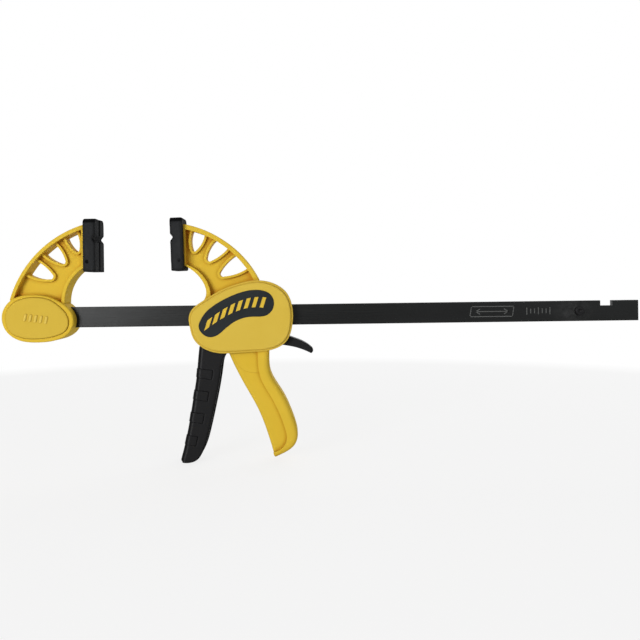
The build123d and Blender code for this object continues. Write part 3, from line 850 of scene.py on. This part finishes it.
@dataclass(frozen=True)
class Pad:
    """A soft pad on a jaw, with the eased rims of a rubber moulding."""

    name: str
    node: str
    body: str
    dimple_x: float
    dimple_z: float
    dimple_depth: float = 0.55
    dimple_radius: float = 1.35
    flank: float = 7.0  # the sides lie further from the middle than this
    grid: float = 0.4  # between the points of its skin
    weld: float = 0.001  # points nearer than this are one
    rounds: int = 16  # how often the rims are eased

    def build(self, wardrobe: Wardrobe) -> Object:
        """Mould the pad and put it on its jaw in place of the drawn one.

        Args:
            wardrobe: gives the rubber.

        Returns:
            The pad.
        """
        piece = show(self.name, self.copied())
        piece.data.materials.append(wardrobe.material(Finish.PAD))
        self.ease(piece)
        self.press(piece.data)
        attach(piece, self.body)
        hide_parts(self.node)
        return piece

    def copied(self) -> Mesh:
        """Copy the drawn pad's mesh and merge its loose triangles.

        Returns:
            The merged copy, with no material.
        """
        work = bmesh.new()
        work.from_mesh(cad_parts[self.node].data)
        bmesh.ops.remove_doubles(work, verts=work.verts, dist=self.weld * MM)
        data = bpy.data.meshes.new(self.name)
        work.to_mesh(data)
        work.free()
        data.materials.clear()
        return data

    def ease(self, piece: Object) -> None:
        """Lay the skin anew on an even grid and ease its rims.

        Easing moves each point half way to the mean of its neighbours, again and again:
        what is flat stays, and a sharp rim becomes an arc about as wide as the grid times
        the square root of the rounds.

        Args:
            piece: the pad, whose mesh is changed.
        """
        skin = piece.modifiers.new("skin", "REMESH")
        skin.mode = "VOXEL"
        skin.voxel_size = self.grid * MM
        skin.use_smooth_shade = True
        easing = piece.modifiers.new("easing", "SMOOTH")
        easing.factor = 0.5
        easing.iterations = self.rounds
        ready = piece.evaluated_get(bpy.context.evaluated_depsgraph_get())
        piece.data = bpy.data.meshes.new_from_object(ready)
        piece.modifiers.clear()

    def press(self, skin: Mesh) -> None:
        """Sink a round dimple into each side, by depth (1 - (r / R)^2) inside radius R.

        Args:
            skin: the eased mesh, in metres.
        """
        flat = np.empty(len(skin.vertices) * 3)
        skin.vertices.foreach_get("co", flat)
        points = flat.reshape(-1, 3)
        middle = place(np.array([self.dimple_x, 0.0, self.dimple_z]))
        reach = np.hypot(points[:, 0] - middle[0], points[:, 2] - middle[2])
        share = np.clip(1.0 - (reach / (self.dimple_radius * MM)) ** 2, 0.0, 1.0)
        on_side = np.abs(points[:, 1]) > self.flank * MM
        points[:, 1] -= np.sign(points[:, 1]) * self.dimple_depth * MM * share * on_side
        skin.vertices.foreach_set("co", points.ravel())
        skin.update()


# ---- sub-assemblies ----
@dataclass
class SubAssembly:
    """CAD nodes and added pieces that belong together."""

    finishes: dict[str, Finish]

    def build(self, wardrobe: Wardrobe) -> list[str]:
        """Dress the nodes, then add the pieces.

        Args:
            wardrobe: gives every material.

        Returns:
            The names of the nodes and of the pieces.
        """
        for node, finish in self.finishes.items():
            wardrobe.dress(node, finish)
        return [*self.finishes, *(piece.name for piece in self.add_pieces(wardrobe))]

    def add_pieces(self, wardrobe: Wardrobe) -> list[Object]:
        """Add the pieces that only the looks have, in each sub-assembly's own way."""
        raise NotImplementedError


@dataclass
class Bar(SubAssembly):
    """The blackened bar, its stop pin and plain etched marks that show the travel."""

    finishes: dict[str, Finish] = field(default_factory=lambda: {
        "bar": Finish.BAR, "stop_pin": Finish.BLACK_PIN})
    frame_left: float = 317.2
    frame_right: float = 355.0
    frame_height: float = 8.6
    frame_lean: float = 0.16  # to the right, by its height
    middle_z: float = 0.4
    line: float = 0.75
    arrow_inset: float = 5.0  # from the frame's ends to the arrow's tips
    arrow_height: float = 4.2
    arrow_point: float = 1.6  # length of a barb by its height
    tick_first: float = 366.0
    tick_pitch: float = 3.3
    tick_count: int = 7
    tick_group: int = 3  # every third tick is a long one
    tick_long: float = 5.4
    tick_short: float = 3.375
    face: float = -2.5
    proud: float = 0.03  # by which the lines stand out of the face
    sunk: float = 0.1  # and reach into it

    def add_pieces(self, wardrobe: Wardrobe) -> list[Object]:
        """Etch the marks on the bar's near face.

        Args:
            wardrobe: gives their material.

        Returns:
            The marks, as one piece.
        """
        shape = Shape.joined([self.stroke(*ends) for ends in self.lines()])
        marks = shape.piece("etched_marks", wardrobe.material(Finish.ETCH), smooth=False)
        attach(marks, "bar_assembly")
        return [marks]

    def lines(self) -> list[tuple[Flat, Flat]]:
        """List the marks: a leaning frame, an arrow in it, and ticks beside it.

        Returns:
            The two ends of each line, in X and Z.
        """
        half, lean = self.frame_height / 2, self.frame_lean * self.frame_height
        left, right, z = self.frame_left, self.frame_right, self.middle_z
        corners = [(left, z - half), (right - lean, z - half),
                   (right, z + half), (left + lean, z + half)]
        border = list(zip(corners, corners[1:] + corners[:1]))
        tips = (left + self.arrow_inset, z), (right - self.arrow_inset, z)
        barb = self.arrow_height / 2
        arrow = [tips]
        for (x, level), way in zip(tips, (1.0, -1.0)):
            behind = x + way * barb * self.arrow_point
            arrow += [((x, level), (behind, level + barb)), ((x, level), (behind, level - barb))]
        ticks = []
        for index in range(self.tick_count):
            x = self.tick_first + index * self.tick_pitch
            reach = (self.tick_short if index % self.tick_group else self.tick_long) / 2
            ticks.append(((x, z - reach), (x, z + reach)))
        return border + arrow + ticks

    def stroke(self, start: Flat, end: Flat) -> Shape:
        """Draw a line as a thin flat bar, run on by half its width at both ends.

        Args:
            start: the line's first end, in X and Z.
            end: its last end.

        Returns:
            The bar.
        """
        first, last = np.array(start), np.array(end)
        along = (last - first) / np.linalg.norm(last - first) * self.line / 2
        side = np.array([-along[1], along[0]])
        outline = np.array([first - along - side, last + along - side, last + along + side,
                            first - along + side])
        return Shape.prism(outline, self.face - self.proud, self.face + self.sunk)


@dataclass
class FixedJaw(SubAssembly):
    """The fixed jaw with its pad, the push button and the latch behind it."""

    finishes: dict[str, Finish] = field(default_factory=lambda: {
        "fixed_jaw": Finish.YELLOW_NYLON, "release_button": Finish.YELLOW_BUTTON,
        "latch_key": Finish.STEEL})
    pad: Pad = Pad("fixed_pad_rubber", "fixed_jaw_pad", "bar_assembly", -6.9, 47.4)
    spring: Spring = Spring("latch_coil", "latch_spring", "bar_assembly", "button_push",
                            (-39.2, 5.0, 7.6), axis=1, length=6.5, radius=2.3, wire=0.35,
                            turns=3, keep=0.42, fixed=11.5)
    rib_count: int = 5
    rib_pitch: float = 4.4
    rib_height: float = 6.4
    rib_lean: float = 1.4  # to the right, over its height
    rib_fall: float = 0.13  # by which each rib is lower than the last, by the pitch
    rib_middle: Flat = (-51.0, -0.4)
    rib_radius: float = 1.05
    rib_end: float = 0.15  # radius that is left at its ends
    rib_proud: float = 0.5
    rib_sunk: float = 0.05
    rib_steps: int = 15
    rib_sides: int = 16
    button_face: float = -15.0

    def add_pieces(self, wardrobe: Wardrobe) -> list[Object]:
        """Add the grip ribs, the pad and the latch's spring.

        Args:
            wardrobe: gives their materials.

        Returns:
            The ribs as one piece, the pad and the spring.
        """
        shape = Shape.joined([self.rib((index - (self.rib_count - 1) / 2) * self.rib_pitch)
                              for index in range(self.rib_count)])
        ribs = shape.piece("button_ribs", wardrobe.material(Finish.YELLOW_RIB_HIGHLIT))
        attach(ribs, "latch")
        return [ribs, self.pad.build(wardrobe), self.spring.build(wardrobe)]

    def rib(self, offset: float) -> Shape:
        """Raise one rounded rib: flat rings along a short slanted line, half of them sunk.

        With t from -1/2 to 1/2 along the rib, its swell is s = sqrt(1 - (2 t)^6). A ring has
        the points (x + r cos a, face - proud s sin a), with r = end + radius s.

        Args:
            offset: how far the rib is from the middle one, in X.

        Returns:
            The rib.
        """
        along = np.linspace(-0.5, 0.5, self.rib_steps)[:, None]
        swell = np.sqrt(np.clip(1.0 - (2.0 * along) ** 6, 0.0, 1.0))
        angle = np.linspace(0.0, 2.0 * np.pi, self.rib_sides, endpoint=False)[None, :]
        x = (self.rib_middle[0] + offset + along * self.rib_lean
             + (self.rib_end + self.rib_radius * swell) * np.cos(angle))
        y = self.button_face - self.rib_proud * np.sin(angle) * swell + self.rib_sunk
        z = self.rib_middle[1] + along * self.rib_height - offset * self.rib_fall
        return Shape.rings(np.stack([x, y, np.broadcast_to(z, x.shape)], axis=-1))


@dataclass
class Carriage(SubAssembly):
    """The moving jaw with its pad, covers, label, screws and pins."""

    finishes: dict[str, Finish] = field(default_factory=lambda: {
        "moving_jaw": Finish.YELLOW_NYLON, "front_cover": Finish.YELLOW_COVER,
        "back_cover": Finish.YELLOW_COVER, "label_plate": Finish.LABEL,
        "cover_screws": Finish.SCREW, "trigger_pivot_pin": Finish.PIN,
        "release_pivot_pin": Finish.PIN})
    pad: Pad = Pad("moving_pad_rubber", "moving_jaw_pad", "carriage", 70.45, 47.2,
                   dimple_depth=0.0)
    mark_count: int = 8
    mark_path: tuple[Flat, ...] = ((94.4, -6.4), (104.0, 0.2), (115.0, 6.2), (127.0, 10.4),
                                   (140.5, 11.0))
    mark_bend: int = 3  # degree of the curve through the path
    mark_height: float = 8.6
    mark_width: float = 3.2
    mark_slant: float = 0.32  # to the right, by its height
    label_face: float = -16.7
    mark_proud: float = 0.05
    mark_sunk: float = 0.1

    def add_pieces(self, wardrobe: Wardrobe) -> list[Object]:
        """Print the label and add the pad.

        Args:
            wardrobe: gives their materials.

        Returns:
            The label's marks as one piece, and the pad.
        """
        near, far = self.label_face - self.mark_proud, self.label_face + self.mark_sunk
        shape = Shape.joined([Shape.prism(outline, near, far) for outline in self.outlines()])
        marks = shape.piece("label_marks", wardrobe.material(Finish.INK), smooth=False)
        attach(marks, "carriage")
        return [marks, self.pad.build(wardrobe)]

    def outlines(self) -> np.ndarray:
        """Outline a row of plain slanted bars along the middle of the label.

        Each bar is a parallelogram: its sides lean by the slant, and its ends follow the
        slope of a cubic curve through the path. Its width across is divided by
        1 - slant slope, so that, square to its sides, each bar is as wide as the next.

        Returns:
            An (n, 4, 2) array: the corners of each bar, in X and Z.
        """
        path = np.array(self.mark_path)
        x = np.linspace(path[0, 0], path[-1, 0], self.mark_count)
        bend = np.polyfit(path[:, 0] - path[0, 0], path[:, 1], self.mark_bend)
        z = np.polyval(bend, x - path[0, 0])
        slope = np.polyval(np.polyder(bend), x - path[0, 0])
        across = np.array([-0.5, 0.5, 0.5, -0.5]) * self.mark_width
        along = np.array([-0.5, -0.5, 0.5, 0.5]) * self.mark_height
        side = across / (1.0 - self.mark_slant * slope)[:, None]
        corner_x = x[:, None] + side + self.mark_slant * along
        corner_z = z[:, None] + along + slope[:, None] * side
        return np.stack([corner_x, corner_z], axis=-1)


@dataclass
class Mechanism(SubAssembly):
    """The trigger, the drive plates, the brake, the release lever and their springs."""

    finishes: dict[str, Finish] = field(default_factory=lambda: {
        "trigger": Finish.BLACK_NYLON, "drive_plate_front": Finish.STEEL,
        "drive_plate_rear": Finish.STEEL, "brake_plate": Finish.STEEL,
        "release_lever": Finish.BLACK_NYLON})
    springs: tuple[Spring, ...] = (
        Spring("drive_coil", "drive_spring", "carriage", "trigger_squeeze", (113.5, 0.0, 0.0),
               axis=0, length=20.0, radius=10.2, wire=0.65, turns=3, keep=0.4, fixed=133.5),
        Spring("brake_coil", "brake_spring", "carriage", "brake_release", (145.6, 0.0, 12.6),
               axis=0, length=12.3, radius=2.6, wire=0.4, turns=5, keep=0.62, fixed=157.9))

    def add_pieces(self, wardrobe: Wardrobe) -> list[Object]:
        """Wind the springs."""
        return [spring.build(wardrobe) for spring in self.springs]


# ---- studio ----
@dataclass(frozen=True)
class Lamp:
    """A square soft lamp."""

    name: str
    spot: Spot
    width: float
    power: float  # in watts
    glints: bool = True  # whether it shows in reflections

    def hang(self, target: Spot) -> None:
        """Put the lamp in its place, facing a point.

        Args:
            target: the point.
        """
        data = bpy.data.lights.new(self.name, "AREA")
        data.shape = "RECTANGLE"
        data.size = self.width
        data.size_y = self.width
        data.energy = self.power
        lamp = show(self.name, data)
        lamp.visible_glossy = self.glints
        lamp.location = Vector(self.spot)
        aim = Vector(target) - lamp.location
        lamp.rotation_euler = aim.to_track_quat("-Z", "Y").to_euler()


@dataclass
class Studio:
    """A pale floor that fades into white, soft lamps and the camera."""

    lamps: tuple[Lamp, ...] = (
        Lamp("key", (-0.82, -1.85, 0.12), 0.85, 30.0),
        Lamp("fill", (1.5, -1.6, 0.3), 1.6, 4.4),
        Lamp("back", (0.9, 2.0, 0.7), 2.6, 31.0, glints=False))
    target: Spot = (0.14, 0.0, -0.06)
    sky: float = 0.3  # strength of the even light from all round
    floor_corners: tuple[Flat, ...] = ((-3.0, -3.0), (3.5, -3.0), (3.5, 3.0), (-3.0, 3.0))
    floor_middle: Flat = (0.15, 0.0)
    floor_paint: Colour = (0.94, 0.94, 0.94)
    floor_glow: float = 0.8  # share of white that the camera sees near the object
    floor_fade: Band = Band(0.3, 0.9)  # of the distance: past it the camera sees only white
    camera_x: float = 163.4  # on the drawing
    camera_back: float = 660.0
    camera_z: float = 27.0
    frame_px: float = 640.0  # width and height of the frame
    focal: float = 767.4  # in its pixels
    axis_px: Flat = (290.0, 283.0)  # where the lens axis meets the frame
    roll: float = 0.734  # degrees by which the bar rises to the right
    sensor: float = 36.0

    def build(self) -> None:
        """Lay the floor, hang the lamps and stand the camera."""
        self.lay_floor()
        self.paint_world()
        for lamp in self.lamps:
            lamp.hang(self.target)
        self.stand_camera()

    def lay_floor(self) -> None:
        """Lay a wide floor under the lowest point, white to the camera further away."""
        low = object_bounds()[0][2]
        data = bpy.data.meshes.new("floor")
        data.from_pydata([(*corner, low) for corner in self.floor_corners], [], [(0, 1, 2, 3)])
        floor = show("floor", data)
        graph = Graph(bpy.data.materials.new("pale_floor"))
        paint = graph.term(graph.node("BsdfDiffuse", {"Color": self.floor_paint}))
        glow = graph.term(graph.node("Emission", {"Color": WHITE}))
        far = self.floor_fade.of(graph.distance((*self.floor_middle, low)))
        seen = graph.term(graph.node("LightPath"), "Is Camera Ray")
        share = graph.math("MAXIMUM", far, self.floor_glow) * seen
        mixed = graph.node("MixShader", {0: share, 1: paint, 2: glow})
        graph.node("OutputMaterial", {"Surface": graph.term(mixed)})
        data.materials.append(graph.owner)
        floor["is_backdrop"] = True

    def paint_world(self) -> None:
        """Make the world white to the camera and in reflections, and a dim even light."""
        graph = Graph(bpy.data.worlds.new("studio_white"))
        bpy.context.scene.world = graph.owner
        path = graph.node("LightPath")
        seen = graph.term(path, "Is Camera Ray")
        for kind in ("Is Glossy Ray", "Is Transmission Ray"):
            seen = graph.math("MAXIMUM", seen, graph.term(path, kind))
        dim, white = (graph.term(graph.node("Background", {"Color": WHITE, "Strength": power}))
                      for power in (self.sky, 1.0))
        mixed = graph.node("MixShader", {0: seen, 1: dim, 2: white})
        graph.node("OutputWorld", {"Surface": graph.term(mixed)})

    def stand_camera(self) -> None:
        """Look square along +Y with the drawing's roll, shifted to frame the whole bar."""
        data = bpy.data.cameras.new("camera")
        data.sensor_width = self.sensor
        data.lens = self.focal / self.frame_px * data.sensor_width
        data.shift_x = (self.frame_px / 2 - self.axis_px[0]) / self.frame_px
        data.shift_y = (self.axis_px[1] - self.frame_px / 2) / self.frame_px
        camera = show("camera", data)
        turn = math.radians(self.roll)
        right = Vector((math.cos(turn), 0.0, -math.sin(turn)))
        up = Vector((math.sin(turn), 0.0, math.cos(turn)))
        back = Vector((0.0, -1.0, 0.0))
        spot = Vector(place(np.array([self.camera_x, -self.camera_back, self.camera_z])))
        camera.matrix_world = Matrix((
            (right.x, up.x, back.x, spot.x), (right.y, up.y, back.y, spot.y),
            (right.z, up.z, back.z, spot.z), (0.0, 0.0, 0.0, 1.0)))
        bpy.context.scene.camera = camera


def main() -> None:
    """Build the clamp's sub-assemblies in order, report each piece, and set up the studio."""
    logging.basicConfig(level=logging.INFO, format="%(name)s: %(message)s")
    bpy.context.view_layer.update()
    bpy.context.scene.view_settings.view_transform = "Standard"
    wardrobe = Wardrobe()
    for part in (Bar(), FixedJaw(), Carriage(), Mechanism()):
        for name in part.build(wardrobe):
            LOG.info("%s: %s is ready", type(part).__name__, name)
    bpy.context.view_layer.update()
    Studio().build()


if __name__ == "__main__":
    main()
